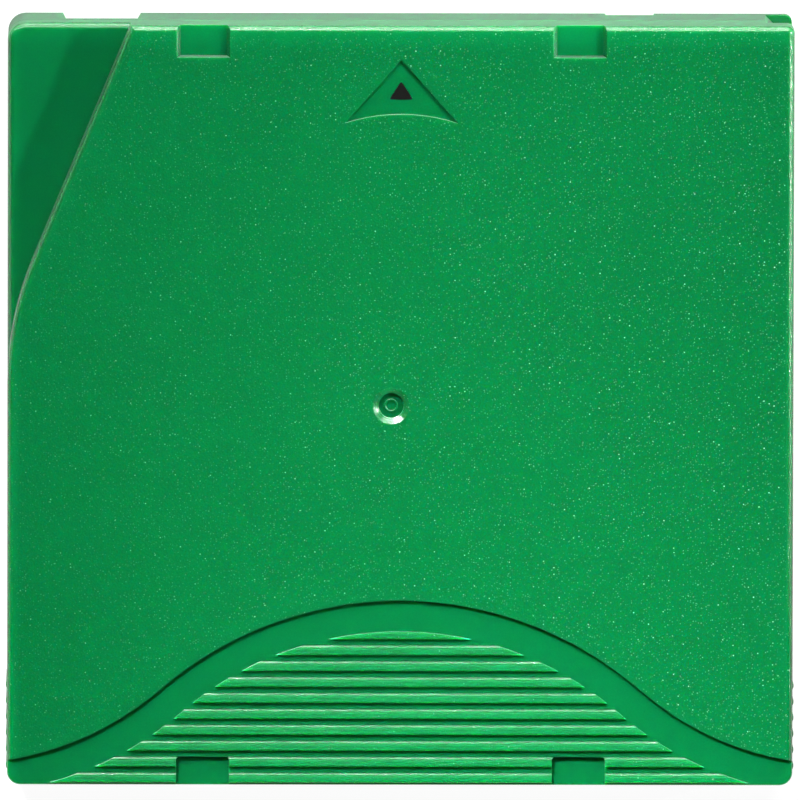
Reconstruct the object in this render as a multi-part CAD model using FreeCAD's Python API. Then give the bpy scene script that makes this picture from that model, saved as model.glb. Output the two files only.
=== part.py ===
"""Half-inch data tape cartridge: a two-shell case holding one sprung, braked reel of tape.

The cartridge lies flat. +Z is up through the upper shell, +Y is the way it is pushed into
a drive, +X is to the right. The origin is under the middle of the case, on the surface it
lies on. All sizes are in millimetres.
"""
import FreeCAD, Part
import math
import os

Vec = FreeCAD.Vector
UP = Vec(0, 0, 1)

# Case, measured wall to wall without the finger ridges
case_width = 105.1
case_length = 102.0
parting_height = 13.0
side_wall = 1.5
floor_wall = 1.2
roof_wall = 1.6
top_edge_radius = 0.95
bottom_edge_radius = 0.5
rear_corner_radius = 1.75
front_right_corner_radius = 1.0
front_left_corner_radius = 2.4

# Lap joint between the shells
lip_height = 0.9
lip_thickness = 0.6
lip_gap = 0.1

# Shadow line round the case, under the edge of the upper shell
shadow_line_depth = 0.2
shadow_line_height = 0.25

# Insertion guide: the front left corner of the roof is set down behind a slanted, curved step.
# Its ceiling lies just over the tape, so the height of the case follows from the tape's width.
guide_tape_gap = 0.6
guide_depth = 4.6
guide_front = 16.45
guide_angle = 22.6
guide_curve_radius = 42.5
guide_step_wall = 1.2
guide_roof = 1.1

# Handling notches in the front and rear edges of the roof
notch_spacing = 50.3
notch_width = 7.1
notch_taper = 0.45
front_notch_length = 4.55
front_notch_depth = 0.8
rear_notch_length = 3.8
rear_notch_depth = 1.1
rear_notch_corner = 0.5

# Arrowhead recess and moulding gate mark in the roof
arrow_setback = 4.6
arrow_height = 8.5
arrow_half_width = 7.55
arrow_base_rise = 1.2
arrow_depth = 0.35
gate_rim_radius = 2.45
gate_bore_radius = 1.68
gate_bevel_depth = 0.35
gate_depth = 0.85
gate_ring_radius = 0.88
gate_ring_wall = 0.2
gate_ring_height = 0.25

# Grip panel at the rear of the roof, bounded by an arch that flares to the sides
grip_depth = 0.5
grip_crest = 24.84
grip_arch_radius = 49.0
grip_arch_angle = 41.0
grip_flare_radius = 40.5
rib_margin = 4.2
rib_first = 5.15
rib_pitch = 2.145
rib_width = 1.08
rib_bevel = 0.2
rib_front_rise = 0.2
rib_count = 10

# Finger ridges on both sides near the rear, standing in a shallow field
ridge_height = 0.15
ridge_field_depth = 0.18
ridge_radius = 1.1
ridge_pitch = 2.15
ridge_count = 6
ridge_rear = 2.6
ridge_end_gap = 1.6

# Cut-outs low in the front and right sides of the lower shell
pin_notch_left = 7.75
pin_notch_width = 9.6
pin_notch_length = 4.2
front_mark_right = 18.9
front_mark_width = 5.8
front_mark_height = 8.2
front_mark_depth = 0.25
notch_flare = 0.45
corner_ledge_height = 2.5
corner_ledge_length = 3.65
corner_ledge_depth = 1.2
corner_ledge_rise = 3.3
side_notch_front = 4.3
side_notch_length = 6.0
side_notch_depth = 2.0
notch_box_wall = 1.2
notch_lip_gap = 0.6

# Label recess on the rear
label_depth = 0.3
label_bottom = 2.4
label_height = 16.6
label_left = 4.0
label_width = 76.0

# Locating hole and slot in the underside
locator_radius = 2.25
locator_depth = 5.0
locator_wall = 1.2
locator_hole_inset_x = 12.5
locator_hole_inset_y = 6.0
locator_slot_inset_x = 25.0
locator_slot_inset_y = 4.6
locator_slot_length = 6.0

# Case screws, put in from below
screw_inset_x = 5.35
screw_inset_y = 5.4
guide_screw_inset_x = 22.05
guide_screw_inset_y = 4.4
screw_head_radius = 2.1
screw_head_height = 1.6
screw_shank_radius = 1.1
screw_length = 14.0
screw_tip = 1.0
screw_socket_radius = 0.95
screw_socket_depth = 0.9
screw_hole_gap = 0.2
screw_bite = 0.2
screw_recess_depth = 3.0
screw_post_wall = 0.95

# Reel
reel_offset = -1.25
reel_door_gap = 0.65
reel_wall_gap = 1.0
flange_thickness = 0.9
hub_radius = 22.0
hub_wall = 1.6
reel_floor_gap = 0.4
tape_width = 12.65
tape_side_gap = 0.05
pack_margin = 1.65
web_thickness = 2.4
spigot_height = 1.0
spigot_wall = 0.8
fit_gap = 0.05

# Drive gear and steel clutch washer under the hub
hub_opening_radius = 18.5
gear_inner_radius = 14.2
gear_outer_radius = 17.6
gear_tooth_height = 0.7
gear_tooth_count = 60
washer_outer_radius = 12.0
washer_inner_radius = 4.2
washer_thickness = 0.8
washer_seat_depth = 0.5
spindle_hole_radius = 3.8

# Brake: toothed button, release plate with three legs, and spring
brake_lift = 1.5
brake_tooth_height = 1.2
brake_tooth_clearance = 0.2
brake_tooth_count = 36
brake_tooth_fill = 0.9
brake_ring_inner_radius = 9.5
brake_ring_outer_radius = 12.5
brake_disc_radius = 13.2
brake_disc_thickness = 1.2
brake_sleeve_radius = 4.6
brake_sleeve_height = 7.0
brake_dome_radius = 2.5
key_half_side = 1.9
key_gap = 0.15
key_end_gap = 0.3
plate_thickness = 0.9
plate_centre_radius = 5.0
plate_arm_half_width = 2.1
plate_tooth_gap = 0.15
plate_gap = 0.35
leg_circle_radius = 15.9
leg_radius = 1.5
leg_gap = 0.3
leg_tip_setback = 0.1
brake_spring_radius = 6.6
brake_spring_wire = 0.8
brake_spring_turns = 4
spring_wire_sides = 8
spring_turn_steps = 16
spring_cup_wall = 0.8
spring_cup_depth = 1.0

# Access door in the left side and its spring
door_wall = 1.0
door_gap = 0.25
door_thickness = 0.9
door_end_gap = 0.3
door_window_front = 6.0
door_window_length = 21.5
door_window_bottom = 2.0
door_window_top = 15.0
door_overlap = 1.6
door_stroke = 20.0
door_finger_width = 0.8
door_finger_setback = 0.3
door_finger_height = 0.75
door_tail_length = 21.5
door_tail_height = 2.6
door_arm_width = 2.0
door_seat_thickness = 1.2
door_rail_width = 0.8
door_rail_height = 1.0
door_rail_length = 11.0
door_spring_radius = 1.1
door_spring_wire = 0.4
door_spring_turns = 14
spring_stop_inset = 9.4
spring_stop_thickness = 1.2
spring_pin_radius = 0.55
spring_pin_length = 2.0

# Leader pin, its wire clips, the tape clip and the leader
pin_inset_x = 9.35
pin_inset_y = 10.0
pin_radius = 1.3
pin_flange_radius = 2.5
pin_flange_thickness = 0.6
pin_stub_radius = 1.0
pin_pocket_depth = 0.55
pin_pocket_gap = 0.2
clip_wire = 0.4
clip_leg_length = 4.0
tape_clip_wall = 0.6
tape_clip_opening = 70.0
leader_thickness = 0.2
leader_pack_gap = 0.3

# Write-protect tab in the rear right corner
tab_window_right = 10.6
tab_window_width = 12.0
tab_window_bottom = 4.6
tab_window_height = 5.4
tab_width = 11.0
tab_height = 8.4
tab_thickness = 1.8
tab_nub_width = 7.5
tab_nub_height = 4.4
tab_stroke = 3.5
tab_gap = 0.3
tab_rail_wall = 0.9

# Memory board across the rear left corner
board_inset = 11.4
board_length = 19.0
board_height = 11.0
board_thickness = 0.6
board_gap = 0.15
board_slot_wall = 0.9
board_slot_height = 8.8
board_slot_grip = 1.6
chip_side = 4.2
chip_thickness = 0.8

# Curved dust wall round the reel in the lower shell
dust_wall_gap = 1.5
dust_wall_thickness = 1.0
dust_wall_lip_gap = 0.5

# Places that follow from the sizes above
half_width = case_width / 2
half_length = case_length / 2
reel_centre = Vec(reel_offset, 0, 0)
flange_bottom = floor_wall + reel_floor_gap
tape_bottom = flange_bottom + flange_thickness + tape_side_gap
tape_top = tape_bottom + tape_width
guide_ceiling = tape_top + guide_tape_gap
guide_floor = guide_ceiling + guide_roof
case_height = guide_floor + guide_depth
ceiling = case_height - roof_wall
upper_flange_bottom = tape_top + tape_side_gap
upper_flange_top = upper_flange_bottom + flange_thickness
web_top = flange_bottom + web_thickness
hub_tooth_top = web_top + brake_tooth_height
brake_tip = web_top + brake_tooth_clearance
brake_root = brake_tip + brake_tooth_height
brake_disc_top = brake_root + brake_disc_thickness
brake_sleeve_top = brake_disc_top + brake_sleeve_height
plate_top = brake_tip - plate_tooth_gap
plate_bottom = plate_top - plate_thickness
plate_pocket_floor = plate_bottom - fit_gap
washer_top = flange_bottom + washer_seat_depth
post_split = parting_height - lip_height - lip_gap
notch_top = post_split - notch_box_wall - notch_lip_gap
ledge_top = parting_height + corner_ledge_rise
pin_x = -half_width + pin_inset_x
pin_y = half_length - pin_inset_y
door_outer_x = -half_width + door_wall + door_gap
door_inner_x = door_outer_x + door_thickness
door_bottom = floor_wall + door_end_gap
door_top = guide_ceiling - door_end_gap
window_front_y = half_length - door_window_front
window_rear_y = window_front_y - door_window_length
door_front_y = window_front_y + door_overlap
door_rear_y = window_rear_y - door_overlap
door_tail_y = door_rear_y - door_tail_length
door_spring_x = door_inner_x + door_spring_radius - door_spring_wire
door_spring_z = ceiling - door_end_gap - door_spring_radius - door_spring_wire
spring_stop_y = -half_length + spring_stop_inset
door_spring_length = door_tail_y - spring_stop_y
wall_limited_radius = half_length - side_wall - reel_wall_gap
door_limited_radius = reel_offset - door_inner_x - reel_door_gap
flange_radius = min(wall_limited_radius, door_limited_radius)
pack_radius = flange_radius - pack_margin
board_middle = Vec(-half_width + board_inset, -half_length + board_inset, 0)


def box(x0, x1, y0, y1, z0, z1):
    """Block between two opposite corners."""
    return Part.makeBox(x1 - x0, y1 - y0, z1 - z0, Vec(x0, y0, z0))


def rod(x, y, radius, z0, z1):
    """Upright cylinder."""
    return Part.makeCylinder(radius, z1 - z0, Vec(x, y, z0))


def tube(x, y, outer, inner, z0, z1):
    """Upright ring."""
    return rod(x, y, outer, z0, z1).cut(rod(x, y, inner, z0 - 1, z1 + 1))


def prism(edges, z0, z1):
    """Closed flat outline, drawn at height zero, raised from z0 to z1."""
    face = Part.Face(Part.Wire(Part.__sortEdges__(edges)))
    face.translate(Vec(0, 0, z0))
    return face.extrude(Vec(0, 0, z1 - z0))


def polygon(points, z0, z1):
    """Straight-sided prism."""
    closed = [Vec(x, y, 0) for x, y in points]
    closed.append(closed[0])
    return prism(Part.makePolygon(closed).Edges, z0, z1)


def upright_polygon(points, y0, y1):
    """Straight-sided prism along Y from points given as x and z."""
    closed = [Vec(x, y0, z) for x, z in points]
    closed.append(closed[0])
    return Part.Face(Part.makePolygon(closed)).extrude(Vec(0, y1 - y0, 0))


def arc(start, middle, end):
    """Arc edge through three points."""
    return Part.Arc(start, middle, end).toShape()


def line(start, end):
    """Straight edge."""
    return Part.LineSegment(start, end).toShape()


def polar(radius, degrees, centre=Vec(0, 0, 0)):
    """Point at a radius and an angle from +X about a centre."""
    turn = math.radians(degrees)
    return centre + Vec(radius * math.cos(turn), radius * math.sin(turn), 0)


def turned(shape, degrees, centre=reel_centre):
    """Copy turned about an upright axis."""
    copy = shape.copy()
    copy.rotate(centre, UP, degrees)
    return copy


def inset_block(inset, z0, z1):
    """Case outline drawn in by an inset, with its four corner radii drawn in as well."""
    block = box(-half_width + inset, half_width - inset, -half_length + inset, half_length - inset, z0, z1)
    corners = (
        (1, -1, rear_corner_radius),
        (-1, -1, rear_corner_radius),
        (1, 1, front_right_corner_radius),
        (-1, 1, front_left_corner_radius),
    )
    for sign_x, sign_y, radius in corners:
        rounded = radius - inset
        if rounded > 0.05:
            edges = [e for e in block.Edges if upright_at(e, sign_x, sign_y)]
            block = block.makeFillet(rounded, edges)
    return block


def upright_at(edge, sign_x, sign_y):
    """True for a vertical edge in the chosen corner of the plan."""
    bounds = edge.BoundBox
    upright = bounds.ZLength > 0.1 and bounds.XLength < 1e-6 and bounds.YLength < 1e-6
    return upright and bounds.Center.x * sign_x > 0 and bounds.Center.y * sign_y > 0


def level_edges(shape, height):
    """Edges lying in one level plane."""
    return [e for e in shape.Edges if abs(e.BoundBox.ZMin - height) < 1e-6 and e.BoundBox.ZLength < 1e-6]


def guide_zone(grow, z0, z1):
    """Everything left of the guide step, with the step moved to the right by a growth."""
    angle = math.radians(guide_angle)
    tangent = guide_curve_radius * math.tan(angle / 2)
    bend_y = half_length - guide_front / math.tan(angle)
    centre = Vec(-half_width + guide_curve_radius, bend_y - tangent, 0)
    radius = guide_curve_radius - grow
    low = polar(radius, 180, centre)
    middle = polar(radius, 180 - guide_angle / 2, centre)
    high = polar(radius, 180 - guide_angle, centre)
    run = (half_length + side_wall - high.y) / math.cos(angle)
    front = high + Vec(math.sin(angle), math.cos(angle), 0) * run
    outside_x = -half_width - 2 * side_wall
    edges = [arc(low, middle, high), line(high, front)]
    edges.append(line(front, Vec(outside_x, front.y, 0)))
    edges.append(line(Vec(outside_x, front.y, 0), Vec(outside_x, low.y, 0)))
    edges.append(line(Vec(outside_x, low.y, 0), low))
    return prism(edges, z0, z1)


def case_body():
    """Outside of the closed case: a low slab with rounded edges, and the full-height part on it."""
    slab = inset_block(0, 0, guide_floor)
    slab = slab.makeFillet(top_edge_radius, level_edges(slab, guide_floor))
    slab = slab.makeFillet(bottom_edge_radius, level_edges(slab, 0))
    upper = inset_block(0, parting_height / 2, case_height)
    upper = upper.cut(guide_zone(0, 0, case_height + 1))
    upper = upper.makeFillet(top_edge_radius, level_edges(upper, case_height))
    return slab.fuse(upper).removeSplitter()


def case_cavity():
    """Inside of the closed case, lower under the insertion guide."""
    low = inset_block(side_wall, floor_wall, guide_ceiling)
    high = inset_block(side_wall, floor_wall, ceiling)
    high = high.cut(guide_zone(guide_step_wall, 0, case_height))
    return low.fuse(high).removeSplitter()


def grip_zone(inset, z0, z1):
    """Area behind the grip arch, with its edge drawn in by an inset."""
    arch_centre = Vec(0, -half_length + grip_crest - grip_arch_radius, 0)
    arch_radius = grip_arch_radius - inset
    flare_radius = grip_flare_radius + inset
    reach = grip_arch_radius + grip_flare_radius
    right_centre = polar(reach, 90 - grip_arch_angle, arch_centre)
    left_centre = polar(reach, 90 + grip_arch_angle, arch_centre)
    crest = polar(arch_radius, 90, arch_centre)
    right = polar(arch_radius, 90 - grip_arch_angle, arch_centre)
    left = polar(arch_radius, 90 + grip_arch_angle, arch_centre)
    right_middle = polar(flare_radius, -90 - grip_arch_angle / 2, right_centre)
    left_middle = polar(flare_radius, -90 + grip_arch_angle / 2, left_centre)
    right_end = polar(flare_radius, -90, right_centre)
    left_end = polar(flare_radius, -90, left_centre)
    rear_y = -half_length - rib_pitch
    edges = [arc(left, crest, right), arc(right, right_middle, right_end), arc(left, left_middle, left_end)]
    edges.append(line(right_end, Vec(right_end.x, rear_y, 0)))
    edges.append(line(Vec(right_end.x, rear_y, 0), Vec(left_end.x, rear_y, 0)))
    edges.append(line(Vec(left_end.x, rear_y, 0), left_end))
    return prism(edges, z0, z1)


def grip_ribs():
    """Level ribs that slope down to the front, ended by a curve that runs along the arch."""
    floor = case_height - grip_depth
    front_height = floor + rib_front_rise
    foot = rib_width / 2 + grip_depth * rib_bevel
    crown = rib_width / 2 - grip_depth * rib_bevel
    bars = []
    for index in range(rib_count):
        y = -half_length + grip_crest - rib_first - index * rib_pitch + rib_width / 2
        rear = [(y - foot, floor), (y - crown, case_height)]
        front = [(y + crown, front_height), (y + foot, floor)]
        corners = [Vec(-half_width, a, b) for a, b in rear + front]
        corners.append(corners[0])
        bars.append(Part.Face(Part.makePolygon(corners)).extrude(Vec(case_width, 0, 0)))
    return bars[0].multiFuse(bars[1:]).common(grip_zone(rib_margin, floor, case_height))


def tapered_notch(x):
    """Notch in the front edge, wider at the top than at its floor."""
    wires = []
    for drop, shrink in ((-front_notch_depth, -notch_taper), (front_notch_depth, notch_taper)):
        z = case_height - drop
        half = notch_width / 2 - shrink
        deep = half_length - front_notch_length + max(shrink, 0)
        open_y = half_length + side_wall
        points = [(x - half, open_y), (x + half, open_y), (x + half, deep), (x - half, deep)]
        ring = [Vec(a, b, z) for a, b in points]
        wires.append(Part.makePolygon(ring + ring[:1]))
    return Part.makeLoft(wires, True, True)


def rear_notch(x):
    """Straight-walled notch in the rear edge with two rounded corners."""
    half = notch_width / 2
    front = -half_length + rear_notch_length
    block = box(x - half, x + half, -half_length - 1, front, case_height - rear_notch_depth, case_height + 1)
    corners = [e for e in block.Edges if e.BoundBox.ZLength > 1 and e.BoundBox.Center.y > front - 0.1]
    return block.makeFillet(rear_notch_corner, corners)


def arrow_recess():
    """Shallow arrowhead with a base that bows towards its point."""
    apex = Vec(0, half_length - arrow_setback, 0)
    left = apex + Vec(-arrow_half_width, -arrow_height, 0)
    right = apex + Vec(arrow_half_width, -arrow_height, 0)
    base = apex + Vec(0, -arrow_height + arrow_base_rise, 0)
    edges = [line(left, apex), line(apex, right), arc(left, base, right)]
    return prism(edges, case_height - arrow_depth, case_height + 1)


def gate_mark():
    """Round moulding gate mark: bevelled rim, shallow bore and a small ring on its floor."""
    x = reel_centre.x
    floor = case_height - gate_depth
    bevel = Part.makeCone(gate_bore_radius, gate_rim_radius, gate_bevel_depth, Vec(x, 0, case_height - gate_bevel_depth))
    bore = rod(x, 0, gate_bore_radius, floor, case_height)
    ring = tube(x, 0, gate_ring_radius, gate_ring_radius - gate_ring_wall, floor - 1, floor + gate_ring_height)
    return bore.fuse(bevel).cut(ring)


def ridge_fields(low, high):
    """Shallow fields that the finger ridges stand in, one on each side."""
    rear_y = -half_length + ridge_rear - ridge_pitch / 2
    front_y = rear_y + ridge_count * ridge_pitch
    face = half_width - ridge_field_depth
    right = box(face, half_width + 1, rear_y, front_y, low, high)
    left = box(-half_width - 1, -face, rear_y, front_y, low, high)
    return [right, left]


def finger_ridges(low, high):
    """Upright half-round ridges on both sides near the rear, between two heights."""
    core = inset_block(side_wall / 2, 0, case_height)
    bars = []
    for index in range(ridge_count):
        y = -half_length + ridge_rear + index * ridge_pitch
        for side in (-1, 1):
            x = side * (half_width + ridge_height - ridge_radius)
            bars.append(rod(x, y, ridge_radius, low, high).cut(core))
    return bars


def label_recess():
    """Shallow field for a label across the rear."""
    left = -half_width + label_left
    top = label_bottom + label_height
    rear = -half_length
    field = box(left, left + label_width, rear - 1, rear + label_depth, label_bottom, top)
    return field.makeFillet(label_depth * 2, [e for e in field.Edges if e.BoundBox.YLength > 1])


def screw_places():
    """Centres of the four case screws, clockwise from the front right corner."""
    right = half_width - screw_inset_x
    front = half_length - screw_inset_y
    guide_x = -half_width + guide_screw_inset_x
    guide_y = half_length - guide_screw_inset_y
    return [(right, front), (right, -front), (-right, -front), (guide_x, guide_y)]


def door_space():
    """Room inside the left wall for the door to run back, higher behind the guide."""
    wall_x = -half_width + door_wall
    inner_x = door_inner_x + door_gap
    rear = door_tail_y - door_stroke - door_end_gap
    low = box(wall_x, inner_x, rear, door_front_y + door_end_gap, floor_wall, guide_ceiling)
    high = box(wall_x, inner_x, rear, door_tail_y + door_arm_width + door_end_gap, floor_wall, ceiling)
    return low.fuse(high)


def door_window():
    """Window in the left wall that the door closes."""
    return box(-half_width - 1, -half_width + side_wall, window_rear_y, window_front_y, door_window_bottom, door_window_top)


def pin_channel(z0, z1):
    """Slot that the end of the leader pin sits in, open towards the door."""
    radius = pin_flange_radius + pin_pocket_gap
    seat = rod(pin_x, pin_y, radius, z0, z1)
    return seat.fuse(box(door_inner_x, pin_x, pin_y - radius, pin_y + radius, z0, z1))


def tooth(inner, outer, count, fill, base, tip):
    """One radial tooth along +X from the reel axis, its base at one height and its edge at another."""
    wires = []
    for radius in (inner, outer):
        half = math.pi * radius / count * fill
        x = reel_centre.x + radius
        ring = [Vec(x, -half, base), Vec(x, half, base), Vec(x, 0, tip)]
        wires.append(Part.makePolygon(ring + ring[:1]))
    return Part.makeLoft(wires, True, True)


def teeth(angles, inner, outer, count, fill, base, tip):
    """Ring of radial teeth at the given angles."""
    one = tooth(inner, outer, count, fill, base, tip)
    return [turned(one, angle) for angle in angles]


def coil(centre, radius, wire, turns, length, axis):
    """Compression spring lofted through wire sections; length runs over its end turns."""
    rise = (length - wire) / turns
    slope = math.atan2(rise, 2 * math.pi * radius)
    step = 360 / spring_turn_steps
    sections = []
    for index in range(turns * spring_turn_steps + 1):
        middle = polar(radius, index * step) + UP * (wire / 2 + rise * index / spring_turn_steps)
        outward = polar(1, index * step)
        across = UP * math.cos(slope) - polar(math.sin(slope), index * step + 90)
        ring = []
        for side in range(spring_wire_sides):
            corner = polar(wire / 2, 360 * (side + 0.5) / spring_wire_sides)
            ring.append(middle + outward * corner.x + across * corner.y)
        sections.append(Part.makePolygon(ring + ring[:1]))
    spring = Part.makeLoft(sections, True, True)
    spring.Placement = FreeCAD.Placement(centre, FreeCAD.Rotation(UP, axis))
    return spring


def upper_shell():
    """Top half of the case, with the guide, notches, arrow, grip panel, screw posts and brake key."""
    shell = case_body().common(box(-half_width, half_width, -half_length, half_length, parting_height, case_height))
    shell = shell.cut([case_cavity()] + ridge_fields(parting_height, case_height - ridge_end_gap))
    lip = inset_block(side_wall - lip_thickness, parting_height - lip_height, parting_height)
    lip = lip.cut(inset_block(side_wall, 0, case_height))
    ridges = finger_ridges(parting_height, case_height - ridge_end_gap)
    shell = shell.multiFuse([lip] + ridges)
    inside = []
    for x, y in screw_places():
        inside.append(rod(x, y, screw_shank_radius + screw_post_wall + screw_hole_gap, post_split + fit_gap, ceiling))
    x = reel_centre.x
    key_bottom = brake_disc_top + brake_lift + key_end_gap
    inside.append(box(x - key_half_side, x + key_half_side, -key_half_side, key_half_side, key_bottom, ceiling))
    cup = brake_spring_radius + brake_spring_wire / 2 + fit_gap * 2
    inside.append(tube(x, 0, cup + spring_cup_wall, cup, ceiling - spring_cup_depth, ceiling))
    stop_right = door_inner_x + 2 * door_spring_radius + door_spring_wire
    stop_low = door_spring_z - door_spring_radius - door_spring_wire
    stop = box(-half_width + side_wall, stop_right, spring_stop_y - spring_stop_thickness, spring_stop_y, stop_low, ceiling)
    inside.append(stop)
    inside.append(door_rail(guide_ceiling - door_rail_height, guide_ceiling))
    inside.append(ledge_box(parting_height, ledge_top + notch_box_wall))
    shell = shell.multiFuse([p.common(case_body()) for p in inside])
    cuts = [grip_zone(0, case_height - grip_depth, case_height + grip_depth).cut(grip_ribs())]
    for side in (-1, 1):
        notch_x = reel_centre.x + side * notch_spacing / 2
        cuts += [tapered_notch(notch_x), rear_notch(notch_x)]
    cuts += [arrow_recess(), gate_mark(), label_recess(), corner_ledge(), door_window(), door_space()]
    cuts.append(pin_channel(guide_ceiling - fit_gap, guide_ceiling + pin_pocket_depth))
    for x, y in screw_places():
        cuts.append(rod(x, y, screw_shank_radius - screw_bite, post_split, screw_recess_depth + screw_length + screw_tip))
    return shell.cut(cuts)


def door_rail(z0, z1):
    """Low rail that keeps the door against the left wall."""
    x0 = door_inner_x + door_gap
    front = pin_y - pin_flange_radius - 2 * pin_pocket_gap
    return box(x0, x0 + door_rail_width, front - door_rail_length, front, z0, z1)


def notch_box(x0, x1, y0, y1):
    """Walls and roof round a cut-out that opens downwards and outwards."""
    wall = notch_box_wall
    return box(x0 - wall, x1 + wall, y0 - wall, y1 + wall, 0, notch_top + wall)


def flared_cut(x0, x1, y0, height):
    """Cut-out in the front from the underside up, with side walls that spread downwards."""
    spread = notch_flare * (height + 1) / height
    points = [(x0 - spread, -1), (x0, height), (x1, height), (x1 + spread, -1)]
    return upright_polygon(points, y0, half_length + 1)


def ledge_box(z0, z1):
    """Block of wall behind the corner ledge, between two heights."""
    x0 = half_width - corner_ledge_length - notch_box_wall
    y0 = half_length - corner_ledge_depth - notch_box_wall
    return box(x0, half_width, y0, half_length, z0, z1)


def shadow_line():
    """Groove round the lower shell under the parting, set back again behind the label field."""
    low = parting_height - shadow_line_height
    band = box(-half_width - 1, half_width + 1, -half_length - 1, half_length + 1, low, parting_height + 1)
    band = band.cut(inset_block(shadow_line_depth, 0, case_height))
    left = -half_width + label_left
    deep = label_depth + shadow_line_depth
    field = box(left, left + label_width, -half_length - 1, -half_length + deep, low, parting_height + 1)
    return [band, field]


def lower_shell():
    """Bottom half of the case, with the hub opening, posts, dust wall, cut-outs and tab track."""
    body = case_body()
    shell = body.common(box(-half_width, half_width, -half_length, half_length, 0, parting_height))
    shell = shell.cut([case_cavity()] + ridge_fields(ridge_end_gap, parting_height))
    pin_x0 = -half_width + pin_notch_left
    pin_x1 = pin_x0 + pin_notch_width
    pin_y0 = half_length - pin_notch_length
    side_y1 = half_length - side_notch_front
    side_y0 = side_y1 - side_notch_length
    side_x0 = half_width - side_notch_depth
    inside = [
        notch_box(pin_x0 - notch_flare, pin_x1 + notch_flare, pin_y0, half_length),
        notch_box(side_x0, half_width, side_y0, side_y1),
        ledge_box(0, post_split),
    ]
    for x, y in screw_places():
        inside.append(rod(x, y, screw_head_radius + screw_hole_gap + screw_post_wall, 0, post_split))
    for place in locator_bosses():
        inside.append(place)
    inside += [dust_wall(), door_rail(floor_wall, floor_wall + door_rail_height)]
    inside += board_slots()
    inside += tab_track()
    ridges = finger_ridges(ridge_end_gap, parting_height)
    shell = shell.multiFuse([p.common(body) for p in inside] + ridges)
    cuts = [
        flared_cut(pin_x0, pin_x1, pin_y0, notch_top),
        box(side_x0, half_width + 1, side_y0, side_y1, -1, notch_top),
        rod(reel_centre.x, 0, hub_opening_radius, -1, floor_wall + 1),
        corner_ledge(),
        front_mark(),
        label_recess(),
        door_window(),
        door_space(),
        tab_window(),
        pin_channel(floor_wall - pin_pocket_depth, floor_wall + fit_gap),
    ]
    cuts += shadow_line()
    rebate = inset_block(side_wall - lip_thickness - lip_gap, post_split, parting_height + 1)
    cuts.append(rebate.cut(inset_block(side_wall, 0, case_height)))
    for x, y in screw_places():
        cuts.append(rod(x, y, screw_head_radius + screw_hole_gap, -1, screw_recess_depth))
        cuts.append(rod(x, y, screw_shank_radius + screw_hole_gap, 0, parting_height))
    cuts += locator_holes()
    return shell.cut(cuts)


def corner_ledge():
    """Upright relief in the front right corner, ending on a ledge near the bottom."""
    x0 = half_width - corner_ledge_length
    y0 = half_length - corner_ledge_depth
    outside = half_length + 1
    points = [(x0, outside), (x0, half_length), (x0 + corner_ledge_depth, y0), (half_width + 1, y0)]
    points.append((half_width + 1, outside))
    return polygon(points, corner_ledge_height, ledge_top)


def front_mark():
    """Shallow field low in the front."""
    x1 = half_width - front_mark_right
    return flared_cut(x1 - front_mark_width, x1, half_length - front_mark_depth, front_mark_height)


def locator_places():
    """Centre of the round locating hole and of the slot."""
    hole = (half_width - locator_hole_inset_x, half_length - locator_hole_inset_y)
    slot = (-half_width + locator_slot_inset_x, -half_length + locator_slot_inset_y)
    return hole, slot


def slot_prism(x, y, radius, length, z0, z1):
    """Round-ended slot along X."""
    half = length / 2 - locator_radius
    ends = [rod(x - half, y, radius, z0, z1), rod(x + half, y, radius, z0, z1)]
    return box(x - half, x + half, y - radius, y + radius, z0, z1).multiFuse(ends)


def locator_bosses():
    """Closed bosses round the locating hole and slot."""
    hole, slot = locator_places()
    radius = locator_radius + locator_wall
    top = locator_depth + locator_wall
    return [rod(*hole, radius, 0, top), slot_prism(*slot, radius, locator_slot_length, 0, top)]


def locator_holes():
    """Blind locating hole and slot, open downwards."""
    hole, slot = locator_places()
    round_hole = rod(*hole, locator_radius, -1, locator_depth)
    return [round_hole, slot_prism(*slot, locator_radius, locator_slot_length, -1, locator_depth)]


def dust_wall():
    """Wall round the reel, left out where the tape and the door run."""
    inner = flange_radius + dust_wall_gap
    top = post_split - dust_wall_lip_gap
    wall = tube(reel_centre.x, 0, inner + dust_wall_thickness, inner, 0, top)
    gap_x = reel_centre.x - inner * math.cos(math.radians(45))
    wall = wall.cut(box(-2 * half_width, gap_x, door_tail_y - door_stroke - 5, half_length, -1, top + 1))
    return wall.common(inset_block(side_wall / 2, 0, case_height))


def board_frame(shape):
    """Shape drawn along X with its outer side towards +Y, turned into the rear left corner."""
    return turned(shape.translated(board_middle), 135, board_middle)


def board_slots():
    """Two posts with grooves that hold the ends of the memory board."""
    half = board_length / 2 + board_gap
    deep = board_thickness / 2 + board_gap
    thick = deep + board_slot_wall
    top = floor_wall + board_slot_height
    groove = box(-half, half, -deep, deep, floor_wall, case_height)
    posts = []
    for side in (-1, 1):
        ends = sorted((side * (half + board_slot_wall), side * (half - board_slot_grip)))
        block = box(ends[0], ends[1], -thick, thick, 0, top)
        posts.append(board_frame(block.cut(groove)))
    return posts


def tab_window():
    """Window in the rear wall through which the write-protect tab is moved."""
    x1 = half_width - tab_window_right
    top = tab_window_bottom + tab_window_height
    return box(x1 - tab_window_width, x1, -half_length - 1, -half_length + side_wall + fit_gap, tab_window_bottom, top)


def tab_place():
    """Left side, rear face and underside of the tab at rest."""
    window_middle = half_width - tab_window_right - tab_window_width / 2
    left = window_middle - (tab_width + tab_stroke) / 2
    rear = -half_length + side_wall + tab_gap
    bottom = floor_wall + tab_gap
    return left, rear, bottom


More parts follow.
